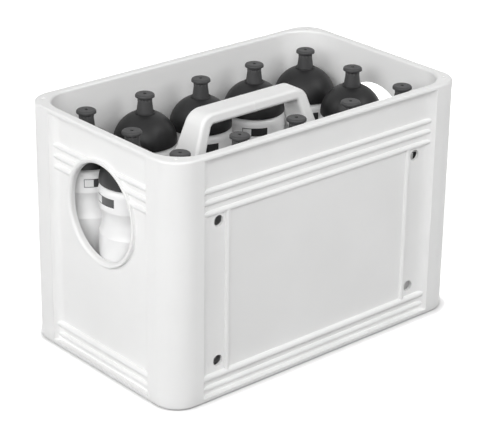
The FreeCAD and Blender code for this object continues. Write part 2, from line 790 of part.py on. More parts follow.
subparts = [make_crate(), make_divider(), make_handle(), make_screws()]
for number, (column, line) in enumerate(BOTTLE_CELLS, start=1):
    place = (cell_place(column), cell_place(line))
    subparts.append(make_bottle_body(f"bottle_{number:02d}_body", *place))
    subparts.append(make_cap(f"bottle_{number:02d}_cap", *place))
    subparts.append(make_seal(f"bottle_{number:02d}_seal", *place))
    subparts.append(make_spout(f"bottle_{number:02d}_spout", *place))

doc.recompute()
for item in doc.Objects:
    if "Invalid" in item.State or "Error" in item.State:
        raise RuntimeError(f"{item.Label} failed: {item.State}")
for subpart in subparts:
    if subpart.Shape.isNull() or not subpart.Shape.isValid():
        raise RuntimeError(f"{subpart.Label} has no valid shape")

os.makedirs("parts", exist_ok=True)
for subpart in subparts:
    subpart.Shape.exportStep(f"parts/{subpart.Label}.step")
    print(subpart.Label, len(subpart.Shape.Solids), round(subpart.Shape.Volume))
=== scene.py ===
import logging
import math
from dataclasses import dataclass, field
from enum import Enum

import bmesh
import bpy
from mathutils import Matrix, Vector


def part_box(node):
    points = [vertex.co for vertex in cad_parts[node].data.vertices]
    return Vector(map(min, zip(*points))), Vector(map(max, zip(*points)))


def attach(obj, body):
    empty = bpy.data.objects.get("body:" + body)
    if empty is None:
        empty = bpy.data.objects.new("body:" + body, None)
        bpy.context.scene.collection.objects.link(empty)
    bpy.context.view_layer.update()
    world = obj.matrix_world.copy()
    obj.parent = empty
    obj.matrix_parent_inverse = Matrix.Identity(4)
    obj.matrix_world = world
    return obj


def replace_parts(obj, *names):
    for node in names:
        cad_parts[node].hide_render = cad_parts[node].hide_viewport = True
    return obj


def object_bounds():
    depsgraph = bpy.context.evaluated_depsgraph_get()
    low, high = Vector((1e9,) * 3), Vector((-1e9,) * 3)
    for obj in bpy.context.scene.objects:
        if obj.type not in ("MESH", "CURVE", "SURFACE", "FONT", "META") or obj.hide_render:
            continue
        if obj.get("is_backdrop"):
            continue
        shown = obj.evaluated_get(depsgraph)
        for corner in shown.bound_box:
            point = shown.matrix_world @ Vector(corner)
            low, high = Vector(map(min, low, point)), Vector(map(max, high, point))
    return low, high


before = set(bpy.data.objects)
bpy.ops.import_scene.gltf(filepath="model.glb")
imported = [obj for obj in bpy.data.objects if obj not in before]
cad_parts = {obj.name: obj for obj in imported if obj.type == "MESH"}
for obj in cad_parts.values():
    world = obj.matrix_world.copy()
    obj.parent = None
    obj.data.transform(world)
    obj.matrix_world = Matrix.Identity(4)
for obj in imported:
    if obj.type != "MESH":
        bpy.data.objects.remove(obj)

LOG = logging.getLogger("bottle_caddy")
MM = 0.001
Colour = tuple[float, float, float]
Point = tuple[float, float, float]


class Surface(Enum):
    """The finishes that the object wears."""

    CRATE = "crate_plastic"
    BOTTLE = "bottle_plastic"
    CAP = "cap_plastic"
    SPOUT = "spout_rubber"
    SEAL = "seal_silicone"
    SCREW = "screw_steel"
    PAPER = "label_paper"
    INK = "label_ink"


class BottlePiece(Enum):
    """The CAD pieces of one bottle and the finish of each."""

    BODY = ("body", Surface.BOTTLE)
    CAP = ("cap", Surface.CAP)
    SEAL = ("seal", Surface.SEAL)
    SPOUT = ("spout", Surface.SPOUT)


# Socket types of the node groups
NUMBER = "NodeSocketFloat"
WHOLE = "NodeSocketInt"
VECTOR = "NodeSocketVector"
# Sockets of a colour Mix node, by index, because the kinds of mix share their names
MIX_FACTOR = 0
MIX_FIRST = 6
MIX_SECOND = 7
MIX_RESULT = 2

# Node helpers


@dataclass
class Tree:
    """A node tree with short calls for adding and joining nodes.

    Args:
        nodes_of: The Blender node tree that the calls work on.
    """

    nodes_of: bpy.types.NodeTree

    def add(self, kind: str, **settings: object) -> bpy.types.Node:
        """Adds a node.

        Args:
            kind: The node's Blender type name.
            settings: Properties of the node, by name.

        Returns:
            The new node.
        """
        node = self.nodes_of.nodes.new(kind)
        for name, setting in settings.items():
            setattr(node, name, setting)
        return node

    def join(self, source: bpy.types.NodeSocket, target: bpy.types.NodeSocket) -> None:
        """Links an output to an input."""
        self.nodes_of.links.new(source, target)

    def feed(self, node: bpy.types.Node, socket: object, source: object) -> None:
        """Links a socket, or sets it to a number, colour or vector.

        Args:
            node: The node that takes the value.
            socket: The input's name or index.
            source: An output socket or a plain value.
        """
        target = node.inputs[socket]
        if isinstance(source, bpy.types.NodeSocket):
            self.join(source, target)
        else:
            target.default_value = source

    def maths(self, operation: str, *terms: object) -> bpy.types.NodeSocket:
        """Adds a Math node.

        Args:
            operation: Blender's name of the operation.
            terms: One to three output sockets or numbers.

        Returns:
            The result's socket.
        """
        node = self.add("ShaderNodeMath", operation=operation)
        for index, term in enumerate(terms):
            self.feed(node, index, term)
        return node.outputs[0]

    def blend(self, terms: tuple[bpy.types.NodeSocket, ...], shares: tuple[float, ...]) -> bpy.types.NodeSocket:
        """Adds up values, each times its share.

        Args:
            terms: The values.
            shares: The share of each.

        Returns:
            The sum's socket.
        """
        total = self.maths("MULTIPLY", terms[0], shares[0])
        for term, share in zip(terms[1:], shares[1:]):
            total = self.maths("MULTIPLY_ADD", term, share, total)
        return total

    def spread(self, source: bpy.types.NodeSocket, low: float, high: float,
               to_low: float = 0.0, to_high: float = 1.0) -> bpy.types.NodeSocket:
        """Maps one range of a value smoothly onto another.

        Args:
            source: The value.
            low: The value that becomes to_low.
            high: The value that becomes to_high.
            to_low: The first end of the result.
            to_high: The last end of the result.

        Returns:
            The result's socket.
        """
        node = self.add("ShaderNodeMapRange", interpolation_type="SMOOTHSTEP")
        for index, term in enumerate((source, low, high, to_low, to_high)):
            self.feed(node, index, term)
        return node.outputs[0]

    def lift(self, shape: bpy.types.NodeSocket, height: object) -> bpy.types.NodeSocket:
        """Moves a geometry upwards.

        Args:
            shape: The geometry.
            height: How far, a number or a socket.

        Returns:
            The moved geometry.
        """
        move = self.add("ShaderNodeCombineXYZ")
        self.feed(move, "Z", height)
        node = self.add("GeometryNodeTransform")
        self.join(shape, node.inputs["Geometry"])
        self.join(move.outputs[0], node.inputs["Translation"])
        return node.outputs[0]

    def sweep(self, path: bpy.types.NodeSocket, ridge: object, steps: int) -> bpy.types.Node:
        """Sweeps a round section along a curve.

        Args:
            path: The curve.
            ridge: The section's radius, a number or a socket.
            steps: How many sides the section has.

        Returns:
            The sweeping node, whose other inputs can still be set.
        """
        section = self.add("GeometryNodeCurvePrimitiveCircle")
        self.feed(section, "Resolution", steps)
        self.feed(section, "Radius", ridge)
        node = self.add("GeometryNodeCurveToMesh")
        self.feed(node, "Curve", path)
        self.feed(node, "Profile Curve", section.outputs[0])
        return node

    def stand(self, shape: bpy.types.NodeSocket, points: bpy.types.NodeSocket) -> bpy.types.NodeSocket:
        """Puts a shape on each point.

        Args:
            shape: The geometry to repeat.
            points: The geometry that holds the points.

        Returns:
            The instances.
        """
        node = self.add("GeometryNodeInstanceOnPoints")
        self.join(points, node.inputs["Points"])
        self.join(shape, node.inputs["Instance"])
        return node.outputs[0]

    def noise(self, where: bpy.types.NodeSocket, scale: object, detail: float) -> bpy.types.NodeSocket:
        """Adds a noise texture.

        Args:
            where: The coordinates.
            scale: The pattern's repeats in a metre, a number or a socket.
            detail: How many finer layers it has.

        Returns:
            The noise's value.
        """
        node = self.add("ShaderNodeTexNoise", noise_dimensions="3D")
        self.feed(node, "Vector", where)
        self.feed(node, "Scale", scale)
        self.feed(node, "Detail", detail)
        return node.outputs[0]


def new_group(name: str, kind: str, inputs: dict[str, str], outputs: dict[str, str]
              ) -> tuple[bpy.types.NodeTree, Tree, bpy.types.Node, bpy.types.Node]:
    """Makes an empty node group with named sockets.

    Args:
        name: The group's name.
        kind: The tree's Blender type name.
        inputs: The inputs' names and socket types.
        outputs: The outputs' names and socket types.

    Returns:
        The group, its helper, and its input and output nodes.
    """
    group = bpy.data.node_groups.new(name, kind)
    for label, socket in inputs.items():
        group.interface.new_socket(label, in_out="INPUT", socket_type=socket)
    for label, socket in outputs.items():
        group.interface.new_socket(label, in_out="OUTPUT", socket_type=socket)
    tree = Tree(group)
    return group, tree, tree.add("NodeGroupInput"), tree.add("NodeGroupOutput")


@dataclass(frozen=True)
class SkinMix:
    """How the patterns of a moulded skin are drawn and mixed.

    Args:
        grain_detail: The grain's finer layers.
        flow_detail: The flow marks' finer layers.
        scuff_detail: The scuffs' finer layers.
        scuff_turn: The scuffs' direction, as three angles.
        scuff_stretch: Scuffs in a metre along each axis.
        scuff_band: The part of the pattern where a scuff begins and is full.
        patch_band: The part of the flow marks where a patch begins and is full.
        tint: How much scuffs and patches change the colour.
        dullness: How much grain, patches and scuffs dull the skin.
        height: How much flow marks, grain and scuffs add to the relief.
    """

    grain_detail: float = 3.0
    flow_detail: float = 2.0
    scuff_detail: float = 4.0
    scuff_turn: Point = (0.35, 0.2, 0.6)
    scuff_stretch: Point = (160.0, 22.0, 40.0)
    scuff_band: tuple[float, float] = (0.66, 0.8)
    patch_band: tuple[float, float] = (0.3, 0.7)
    tint: tuple[float, float] = (0.5, 0.6)
    dullness: Point = (0.4, 0.4, 0.5)
    height: Point = (0.8, 0.2, -0.15)


def make_moulded_skin(mix: SkinMix) -> bpy.types.NodeTree:
    """Builds the group for a moulded skin: fine grain, slow flow marks and faint scuffs.

    Args:
        mix: How the patterns are drawn and mixed.

    Returns:
        The group, with the outputs Tint, Dullness and Height.
    """
    group, tree, start, end = new_group(
        "moulded_skin", "ShaderNodeTree",
        {"Place": VECTOR, "Grain": NUMBER, "Flow": NUMBER, "Scuffs": NUMBER},
        {"Tint": NUMBER, "Dullness": NUMBER, "Height": NUMBER},
    )
    place = start.outputs["Place"]
    grain = tree.noise(place, start.outputs["Grain"], mix.grain_detail)
    flow = tree.noise(place, start.outputs["Flow"], mix.flow_detail)
    stretched = tree.add("ShaderNodeMapping")
    tree.feed(stretched, "Vector", place)
    tree.feed(stretched, "Rotation", mix.scuff_turn)
    tree.feed(stretched, "Scale", mix.scuff_stretch)
    hairs = tree.noise(stretched.outputs[0], 1.0, mix.scuff_detail)
    scuffs = tree.maths("MULTIPLY", tree.spread(hairs, *mix.scuff_band), start.outputs["Scuffs"])
    patches = tree.spread(flow, *mix.patch_band)
    tree.join(tree.blend((scuffs, patches), mix.tint), end.inputs["Tint"])
    tree.join(tree.blend((grain, patches, scuffs), mix.dullness), end.inputs["Dullness"])
    tree.join(tree.blend((flow, grain, scuffs), mix.height), end.inputs["Height"])
    return group


@dataclass(frozen=True)
class Finish:
    """One finish, made from the moulded skin.

    Args:
        colour: The main colour.
        shade: The colour that flow marks and scuffs lean to.
        roughness: The smoothest and the dullest roughness.
        grain: Grains in a metre.
        flow: Flow marks in a metre.
        scuffs: How much the finish is scuffed, from 0 to 1.
        relief: How deep the skin's relief is, in metres.
        metallic: 1 for metal.
        specular: The shader's specular level.
    """

    colour: Colour
    shade: Colour
    roughness: tuple[float, float]
    grain: float
    flow: float
    scuffs: float
    relief: float
    metallic: float = 0.0
    specular: float = 0.5

    def build(self, name: str, skin: bpy.types.NodeTree) -> bpy.types.Material:
        """Makes the material.

        Args:
            name: The material's name.
            skin: The moulded skin's group.

        Returns:
            The material.
        """
        material = bpy.data.materials.new(name)
        material.use_nodes = True
        material.diffuse_color = (*self.colour, 1.0)
        material.node_tree.nodes.clear()
        tree = Tree(material.node_tree)
        where = tree.add("ShaderNodeTexCoord").outputs["Object"]
        cover = tree.add("ShaderNodeGroup", node_tree=skin)
        for socket, source in (("Place", where), ("Grain", self.grain), ("Flow", self.flow),
                               ("Scuffs", self.scuffs)):
            tree.feed(cover, socket, source)
        paint = tree.add("ShaderNodeMix", data_type="RGBA")
        tree.feed(paint, MIX_FACTOR, cover.outputs["Tint"])
        tree.feed(paint, MIX_FIRST, (*self.colour, 1.0))
        tree.feed(paint, MIX_SECOND, (*self.shade, 1.0))
        bump = tree.add("ShaderNodeBump")
        tree.feed(bump, "Strength", 1.0)
        tree.feed(bump, "Distance", self.relief)
        tree.feed(bump, "Height", cover.outputs["Height"])
        shader = tree.add("ShaderNodeBsdfPrincipled")
        tree.feed(shader, "Base Color", paint.outputs[MIX_RESULT])
        tree.feed(shader, "Roughness", tree.spread(cover.outputs["Dullness"], 0.0, 1.0, *self.roughness))
        tree.feed(shader, "Normal", bump.outputs[0])
        tree.feed(shader, "Metallic", self.metallic)
        tree.feed(shader, "Specular IOR Level", self.specular)
        tree.join(shader.outputs[0], tree.add("ShaderNodeOutputMaterial").inputs[0])
        return material


FINISHES: dict[Surface, Finish] = {
    Surface.CRATE: Finish((0.92, 0.92, 0.915), (0.89, 0.89, 0.885), (0.34, 0.52), 1500, 14, 0.25, 0.00012),
    Surface.BOTTLE: Finish((0.91, 0.91, 0.91), (0.88, 0.88, 0.88), (0.26, 0.44), 900, 20, 0.2, 0.00015),
    Surface.CAP: Finish(
        (0.014, 0.014, 0.0145), (0.022, 0.022, 0.0225), (0.36, 0.56), 1800, 30, 0.3, 0.0001, specular=0.27),
    Surface.SPOUT: Finish(
        (0.04, 0.04, 0.041), (0.056, 0.056, 0.057), (0.48, 0.66), 1800, 40, 0.2, 0.0001, specular=0.4),
    Surface.SEAL: Finish((0.72, 0.72, 0.71), (0.66, 0.66, 0.65), (0.4, 0.6), 1200, 60, 0.1, 0.00006),
    Surface.SCREW: Finish((0.62, 0.62, 0.63), (0.5, 0.5, 0.51), (0.22, 0.45), 2500, 90, 0.6, 0.00004, 1.0),
    Surface.PAPER: Finish((0.84, 0.84, 0.84), (0.78, 0.78, 0.78), (0.3, 0.45), 1500, 60, 0.2, 0.00002),
    Surface.INK: Finish((0.025, 0.025, 0.026), (0.035, 0.035, 0.036), (0.3, 0.45), 1500, 60, 0.3, 0.00002),
}


def make_materials() -> dict[Surface, bpy.types.Material]:
    """Builds every finish once.

    Returns:
        The materials by surface.
    """
    skin = make_moulded_skin(SkinMix())
    return {surface: finish.build(surface.value, skin) for surface, finish in FINISHES.items()}


# Making pieces


def dress(node: str, material: bpy.types.Material) -> None:
    """Gives a CAD node its finish, in place of the plain one that it came with."""
    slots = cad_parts[node].material_slots
    for slot in slots:
        slot.material = material
    LOG.info("node %s wears %s", node, material.name)


def keep_piece(name: str, mesh: bpy.types.Mesh, body: str) -> bpy.types.Object:
    """Puts a finished mesh into the scene as a piece of the object.

    Args:
        name: The piece's name.
        mesh: Its mesh, already in place.
        body: The CAD body that it moves with.

    Returns:
        The piece's object.
    """
    piece = bpy.data.objects.new(name, mesh)
    bpy.context.scene.collection.objects.link(piece)
    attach(piece, body)
    LOG.info("piece %s rides on %s with %d faces", name, body, len(mesh.polygons))
    return piece


def grow(tree: bpy.types.NodeTree, values: dict[str, object], seed: bpy.types.Mesh, name: str
         ) -> bpy.types.Mesh:
    """Runs a geometry tree on a mesh and keeps the result as a plain mesh.

    Args:
        tree: The geometry tree.
        values: Its inputs by name.
        seed: The mesh that it starts from.
        name: The result's name.

    Returns:
        The made mesh.
    """
    helper = bpy.data.objects.new(f"{name}_helper", seed)
    bpy.context.scene.collection.objects.link(helper)
    modifier = helper.modifiers.new("grow", "NODES")
    modifier.node_group = tree
    for item in tree.interface.items_tree:
        if item.item_type == "SOCKET" and item.in_out == "INPUT" and item.name in values:
            modifier[item.identifier] = values[item.name]
    shown = helper.evaluated_get(bpy.context.evaluated_depsgraph_get())
    mesh = bpy.data.meshes.new_from_object(shown)
    mesh.name = name
    mesh.materials.clear()
    mesh.materials.append(values["Material"])
    for face in mesh.polygons:
        face.material_index = 0
    helper.modifiers.remove(modifier)
    bpy.data.objects.remove(helper)
    return mesh


def points_mesh(name: str, places: list[Point]) -> bpy.types.Mesh:
    """Makes a mesh of loose points."""
    mesh = bpy.data.meshes.new(name)
    mesh.from_pydata(places, [], [])
    return mesh


def new_shape_tree(name: str, inputs: dict[str, str]
                   ) -> tuple[bpy.types.NodeTree, Tree, bpy.types.Node, bpy.types.Node]:
    """Makes an empty geometry tree that grows a shape on points and gives it a material.

    Args:
        name: The tree's name.
        inputs: The names and socket types of the shape's own inputs.

    Returns:
        The tree, its helper, and its input and output nodes.
    """
    shape = {"Geometry": "NodeSocketGeometry"}
    return new_group(name, "GeometryNodeTree", {**shape, **inputs, "Material": "NodeSocketMaterial"}, shape)


def finish_tree(tree: Tree, shape: bpy.types.NodeSocket, start: bpy.types.Node, end: bpy.types.Node) -> None:
    """Ends a geometry tree: instances made real, shaded smooth and given their material.

    Args:
        tree: The tree's helper.
        shape: The geometry so far.
        start: The tree's input node, with a Material socket.
        end: The tree's output node.
    """
    real = tree.add("GeometryNodeRealizeInstances")
    tree.join(shape, real.inputs[0])
    smooth = tree.add("GeometryNodeSetShadeSmooth")
    tree.join(real.outputs[0], smooth.inputs[0])
    painted = tree.add("GeometryNodeSetMaterial")
    tree.join(smooth.outputs[0], painted.inputs["Geometry"])
    tree.join(start.outputs["Material"], painted.inputs["Material"])
    tree.join(painted.outputs[0], end.inputs[0])


# Steps of the small round forms
TURN_STEPS = 72
SECTION_STEPS = 10
ROUNDING_STEPS = 8
# Share of a neck thread's length in which it fades in or out, and its width at the very end
FADE_SHARE = 1 / 12
END_WIDTH = 0.15


def make_thread_tree() -> bpy.types.NodeTree:
    """Builds the tree of a screw thread: a ridge that winds up a neck and fades at both ends.

    Returns:
        The geometry tree.
    """
    group, tree, start, end = new_shape_tree("neck_thread", {
        "Radius": NUMBER, "Rise": NUMBER, "Turns": NUMBER, "Ridge": NUMBER, "Foot": VECTOR,
    })
    spiral = tree.add("GeometryNodeCurveSpiral")
    tree.feed(spiral, "Resolution", TURN_STEPS)
    tree.feed(spiral, "Rotations", start.outputs["Turns"])
    tree.feed(spiral, "Start Radius", start.outputs["Radius"])
    tree.feed(spiral, "End Radius", start.outputs["Radius"])
    tree.feed(spiral, "Height", start.outputs["Rise"])
    along = tree.add("GeometryNodeSplineParameter").outputs["Factor"]
    nearer_end = tree.maths("MINIMUM", along, tree.maths("SUBTRACT", 1.0, along))
    faded = tree.maths("MINIMUM", tree.maths("DIVIDE", nearer_end, FADE_SHARE), 1.0)
    width = tree.maths("MAXIMUM", faded, END_WIDTH)
    sweep = tree.sweep(spiral.outputs[0], start.outputs["Ridge"], SECTION_STEPS)
    tree.feed(sweep, "Scale", width)
    tree.feed(sweep, "Fill Caps", True)
    lifted = tree.add("GeometryNodeTranslateInstances")
    tree.join(tree.stand(sweep.outputs[0], start.outputs["Geometry"]), lifted.inputs[0])
    tree.feed(lifted, "Translation", start.outputs["Foot"])
    finish_tree(tree, lifted.outputs[0], start, end)
    return group


def make_parting_tree() -> bpy.types.NodeTree:
    """Builds the tree of a mould's parting line: a fine ridge round a bar with rounded edges.

    Returns:
        The geometry tree.
    """
    group, tree, start, end = new_shape_tree("parting_line", {
        "Bottom": NUMBER, "Top": NUMBER, "Height": NUMBER, "Rounding": NUMBER, "Ridge": NUMBER,
    })
    outline = tree.add("GeometryNodeCurvePrimitiveQuadrilateral", mode="TRAPEZOID")
    tree.feed(outline, "Height", start.outputs["Height"])
    tree.feed(outline, "Bottom Width", start.outputs["Bottom"])
    tree.feed(outline, "Top Width", start.outputs["Top"])
    tree.feed(outline, "Offset", 0.0)
    rounded = tree.add("GeometryNodeFilletCurve", mode="POLY")
    tree.feed(rounded, "Curve", outline.outputs[0])
    tree.feed(rounded, "Radius", start.outputs["Rounding"])
    tree.feed(rounded, "Count", ROUNDING_STEPS)
    sweep = tree.sweep(rounded.outputs[0], start.outputs["Ridge"], SECTION_STEPS)
    upright = tree.add("GeometryNodeTransform")
    tree.join(sweep.outputs[0], upright.inputs["Geometry"])
    tree.feed(upright, "Rotation", (math.pi / 2, 0.0, math.pi / 2))
    finish_tree(tree, tree.stand(upright.outputs[0], start.outputs["Geometry"]), start, end)
    return group


def make_ribs_tree() -> bpy.types.NodeTree:
    """Builds the tree of a spout's grip: upright ribs in a ring that grow thicker upwards.

    Returns:
        The geometry tree.
    """
    group, tree, start, end = new_shape_tree("spout_ribs", {
        "Count": WHOLE, "Radius": NUMBER, "Height": NUMBER, "Thin": NUMBER, "Thick": NUMBER,
    })
    rib = tree.add("GeometryNodeMeshCone")
    tree.feed(rib, "Vertices", SECTION_STEPS)
    tree.feed(rib, "Radius Top", start.outputs["Thick"])
    tree.feed(rib, "Radius Bottom", start.outputs["Thin"])
    tree.feed(rib, "Depth", start.outputs["Height"])
    ring = tree.add("GeometryNodeMeshCircle")
    tree.feed(ring, "Vertices", start.outputs["Count"])
    tree.feed(ring, "Radius", start.outputs["Radius"])
    ribs = tree.stand(rib.outputs["Mesh"], ring.outputs[0])
    finish_tree(tree, tree.stand(ribs, start.outputs["Geometry"]), start, end)
    return group


def make_collar_tree() -> bpy.types.NodeTree:
    """Builds the tree of a round collar that lies flat.

    Returns:
        The geometry tree.
    """
    group, tree, start, end = new_shape_tree("spout_collar", {"Radius": NUMBER, "Ridge": NUMBER})
    ring = tree.add("GeometryNodeCurvePrimitiveCircle")
    tree.feed(ring, "Resolution", TURN_STEPS)
    tree.feed(ring, "Radius", start.outputs["Radius"])
    sweep = tree.sweep(ring.outputs[0], start.outputs["Ridge"], SECTION_STEPS)
    finish_tree(tree, tree.stand(sweep.outputs[0], start.outputs["Geometry"]), start, end)
    return group


# Shares of a screw head's radius or height: its flat face, and the arms and top of its cross recess
HEAD_FACE_SHARE = 0.8
ARM_LENGTH_SHARE = 1.05
ARM_WIDTH_SHARE = 0.26
RECESS_TOP_SHARE = 0.1
# Shares of a screw's radius or length: its core, its thread's ridge and the threaded part
CORE_SHARE = 0.86
RIDGE_SHARE = 0.14
THREADED_SHARE = 0.97
# Steps and turns of a screw
HEAD_STEPS = 32
SHANK_STEPS = 24
SCREW_TURN_STEPS = 20
SCREW_RIDGE_STEPS = 4
SCREW_TURNS = 12.0


def make_screw_tree() -> bpy.types.NodeTree:
    """Builds the tree of the floor's screws: pan heads with a cross recess and threaded shanks.

    Returns:
        The geometry tree.
    """
    group, tree, start, end = new_shape_tree("floor_screws", {
        "Head Radius": NUMBER, "Head Height": NUMBER, "Radius": NUMBER, "Length": NUMBER,
    })
    head_height = start.outputs["Head Height"]
    head = tree.add("GeometryNodeMeshCone")
    tree.feed(head, "Vertices", HEAD_STEPS)
    tree.feed(head, "Radius Top", start.outputs["Head Radius"])
    tree.feed(head, "Radius Bottom", tree.maths("MULTIPLY", start.outputs["Head Radius"], HEAD_FACE_SHARE))
    tree.feed(head, "Depth", head_height)
    cut = head.outputs["Mesh"]
    for along_x in (True, False):
        slot = tree.add("GeometryNodeMeshCube")
        size = tree.add("ShaderNodeCombineXYZ")
        long_side = tree.maths("MULTIPLY", start.outputs["Head Radius"], ARM_LENGTH_SHARE)
        short_side = tree.maths("MULTIPLY", start.outputs["Head Radius"], ARM_WIDTH_SHARE)
        tree.feed(size, "X", long_side if along_x else short_side)
        tree.feed(size, "Y", short_side if along_x else long_side)
        tree.feed(size, "Z", head_height)
        tree.feed(slot, "Size", size.outputs[0])
        recess = tree.add("GeometryNodeMeshBoolean", operation="DIFFERENCE")
        tree.join(cut, recess.inputs[0])
        top = tree.maths("MULTIPLY", head_height, RECESS_TOP_SHARE)
        tree.join(tree.lift(slot.outputs[0], top), recess.inputs[1])
        cut = recess.outputs[0]
    core_radius = tree.maths("MULTIPLY", start.outputs["Radius"], CORE_SHARE)
    shank = tree.add("GeometryNodeMeshCylinder")
    tree.feed(shank, "Vertices", SHANK_STEPS)
    tree.feed(shank, "Radius", core_radius)
    tree.feed(shank, "Depth", start.outputs["Length"])
    shank_middle = tree.maths("MULTIPLY_ADD", start.outputs["Length"], 0.5, head_height)
    thread = tree.add("GeometryNodeCurveSpiral")
    tree.feed(thread, "Resolution", SCREW_TURN_STEPS)
    tree.feed(thread, "Rotations", SCREW_TURNS)
    tree.feed(thread, "Start Radius", core_radius)
    tree.feed(thread, "End Radius", core_radius)
    tree.feed(thread, "Height", tree.maths("MULTIPLY", start.outputs["Length"], THREADED_SHARE))
    ridge = tree.maths("MULTIPLY", start.outputs["Radius"], RIDGE_SHARE)
    sweep = tree.sweep(thread.outputs[0], ridge, SCREW_RIDGE_STEPS)
    tree.feed(sweep, "Fill Caps", True)
    whole = tree.add("GeometryNodeJoinGeometry")
    raised = (tree.lift(shank.outputs[0], shank_middle), tree.lift(sweep.outputs[0], head_height))
    for part in (cut, *raised):
        tree.join(part, whole.inputs[0])
    finish_tree(tree, tree.stand(whole.outputs[0], start.outputs["Geometry"]), start, end)
    return group


# The object's sub-assemblies


@dataclass
class Crate:
    """The crate with its divider, handle and screws.

    Args:
        materials: The finishes.
        bar_width: The handle bar's width at its top, in metres.
        bar_lean: How much wider the bar's underside is, in metres.
        bar_height: The bar's thickness, in metres.
        bar_rounding: The rounding of the bar's edges, in metres.
        ridge: The parting line's radius, in metres.
        screw_head: The screw heads' radius and height, in metres.
        screw_radius: The screws' radius, in metres.
        body: The CAD body that everything here moves with.
    """

    materials: dict[Surface, bpy.types.Material]
    bar_width: float = 26.0 * MM
    bar_lean: float = 3.1 * MM
    bar_height: float = 13.0 * MM
    bar_rounding: float = 4.0 * MM
    ridge: float = 0.35 * MM
    screw_head: tuple[float, float] = (4.0 * MM, 2.6 * MM)
    screw_radius: float = 2.0 * MM
    body: str = "crate"

    def dress_solids(self) -> None:
        """Gives the mouldings their white plastic."""
        for node in ("crate_shell", "cell_divider", "carry_handle"):
            dress(node, self.materials[Surface.CRATE])

    def add_parting_line(self) -> None:
        """Adds the fine ridge that the handle's mould leaves across its bar."""
        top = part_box("carry_handle")[1].z
        seed = points_mesh("parting_seed", [(0.0, 0.0, top - self.bar_height / 2)])
        mesh = grow(make_parting_tree(), {
            "Bottom": self.bar_width + self.bar_lean, "Top": self.bar_width, "Height": self.bar_height,
            "Rounding": self.bar_rounding, "Ridge": self.ridge, "Material": self.materials[Surface.CRATE],
        }, seed, "handle_parting_line")
        keep_piece("handle_parting_line", mesh, self.body)

    def add_screws(self) -> None:
        """Replaces the plain screws with ones that have a cross recess and a thread."""
        low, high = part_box("handle_screws")
        head_radius, head_height = self.screw_head
        across, deep = high.x - head_radius, high.y - head_radius
        seed = points_mesh("screw_seed", [(x, y, low.z) for x in (-across, across) for y in (-deep, deep)])
        mesh = grow(make_screw_tree(), {
            "Head Radius": head_radius, "Head Height": head_height, "Radius": self.screw_radius,
            "Length": high.z - low.z - head_height, "Material": self.materials[Surface.SCREW],
        }, seed, "handle_screws_detailed")
        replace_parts(keep_piece("handle_screws_detailed", mesh, self.body), "handle_screws")

    def build(self) -> None:
        """Dresses the crate and adds its small pieces."""
        self.dress_solids()
        self.add_parting_line()
        self.add_screws()


@dataclass
class Label:
    """A plain two-tone patch on a bottle's upper band.

    Args:
        light_width: The pale part's width along the band, in metres.
        dark_width: The dark part's width, in metres.
        border: The dark line round the pale part, in metres.
        low: The patch's lower edge above the bottle's foot, in metres.
        high: Its upper edge above the foot, in metres.
        proud: How far it stands out of the bottle, in metres.
        buried: How far it reaches into the wall, in metres.
        step: The longest face, in metres.
    """

    light_width: float = 10.8 * MM
    dark_width: float = 17.6 * MM
    border: float = 0.7 * MM
    low: float = 178.4 * MM
    high: float = 187.6 * MM
    proud: float = 0.12 * MM
    buried: float = 0.3 * MM
    step: float = 1.2 * MM

    def stops(self, marks: list[float]) -> list[float]:
        """Fills in the marks so that no step is longer than the patch's own.

        Args:
            marks: The places that have to be there, in order.

        Returns:
            All places, in order.
        """
        filled = [marks[0]]
        for last, following in zip(marks, marks[1:]):
            count = max(1, math.ceil((following - last) / self.step))
            filled += [last + (following - last) * (index + 1) / count for index in range(count)]
        return filled

    def mesh(self, name: str, centre: Vector, radius: float, split: float,
             inks: tuple[bpy.types.Material, bpy.types.Material]) -> bpy.types.Mesh:
        """Builds the patch as a thin closed shell round a bottle.

        Args:
            name: The mesh's name.
            centre: The bottle's axis at its foot.
            radius: The band's radius.
            split: The angle where the pale part meets the dark part, in degrees.
            inks: The pale and the dark material.

        Returns:
            The mesh.
        """
        border = self.border
        across = self.stops([-self.light_width, border - self.light_width, -border, 0.0, self.dark_width])
        upward = self.stops([self.low, self.low + border, self.high - border, self.high])
        made = bmesh.new()

        def layer(reach: float) -> list[list[bmesh.types.BMVert]]:
            """Adds one curved grid of points at a radius."""
            rows = []
            for height in upward:
                row = []
                for offset in across:
                    turn = math.radians(split) + offset / radius
                    place = Vector((math.cos(turn) * reach, math.sin(turn) * reach, height))
                    row.append(made.verts.new(centre + place))
                rows.append(row)
            return rows

        outer, inner = layer(radius + self.proud), layer(radius - self.buried)
        last_row, last_column = len(upward) - 1, len(across) - 1
        for row in range(last_row):
            for column in range(last_column):
                near, far = (row, column), (row + 1, column + 1)
                corners = (near, (near[0], far[1]), far, (far[0], near[1]))
                face = made.faces.new([outer[r][c] for r, c in corners])
                middle_x = (across[column] + across[column + 1]) / 2
                middle_z = (upward[row] + upward[row + 1]) / 2
                inside = border - self.light_width < middle_x < -border
                level = self.low + border < middle_z < self.high - border
                face.material_index = 0 if inside and level else 1
                made.faces.new([inner[r][c] for r, c in reversed(corners)]).material_index = 1
        ring = [(0, c) for c in range(last_column)] + [(r, last_column) for r in range(last_row)]
        ring += [(last_row, c) for c in range(last_column, 0, -1)] + [(r, 0) for r in range(last_row, 0, -1)]
        for (r1, c1), (r2, c2) in zip(ring, ring[1:] + ring[:1]):
            side = made.faces.new([outer[r2][c2], outer[r1][c1], inner[r1][c1], inner[r2][c2]])
            side.material_index = 1
        bmesh.ops.recalc_face_normals(made, faces=made.faces)
        mesh = bpy.data.meshes.new(name)
        made.to_mesh(mesh)
        made.free()
        for ink in inks:
            mesh.materials.append(ink)
        return mesh


